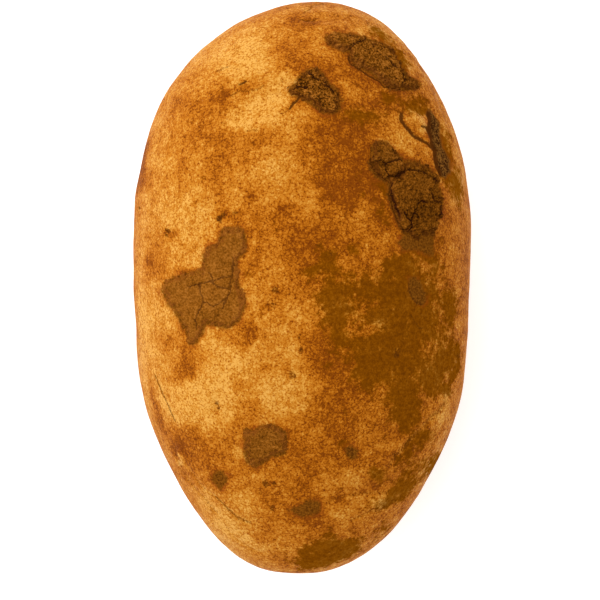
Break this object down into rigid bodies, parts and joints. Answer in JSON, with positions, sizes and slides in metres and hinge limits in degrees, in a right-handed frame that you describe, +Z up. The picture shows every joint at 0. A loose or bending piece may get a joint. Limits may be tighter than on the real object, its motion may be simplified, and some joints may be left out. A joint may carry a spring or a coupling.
{
  "type": "potato",
  "caption": "Long oval potato with a thin russet skin, shallow eyes and patches of dried soil, lying on its flattest side.",
  "frame": {"origin": "on the surface that the potato lies on, under the middle of its box", "axes": "+Z is up, +Y points along the potato to its broad crown end, and +X across it"},
  "size_m": [0.071, 0.1199, 0.0598],
  "materials": {
    "potato_skin": "matte, mottled golden brown and russet, with a fine netting",
    "dried_soil": "rough and crumbly, dark brown"
  },
  "bodies": {
    "root": {"tuber": "potato_skin", "soil_crown": "dried_soil", "soil_shoulder": "dried_soil", "soil_side_upper": "dried_soil", "soil_side_lower": "dried_soil", "soil_flank": "dried_soil", "soil_heel": "dried_soil"}
  },
  "joints": []
}
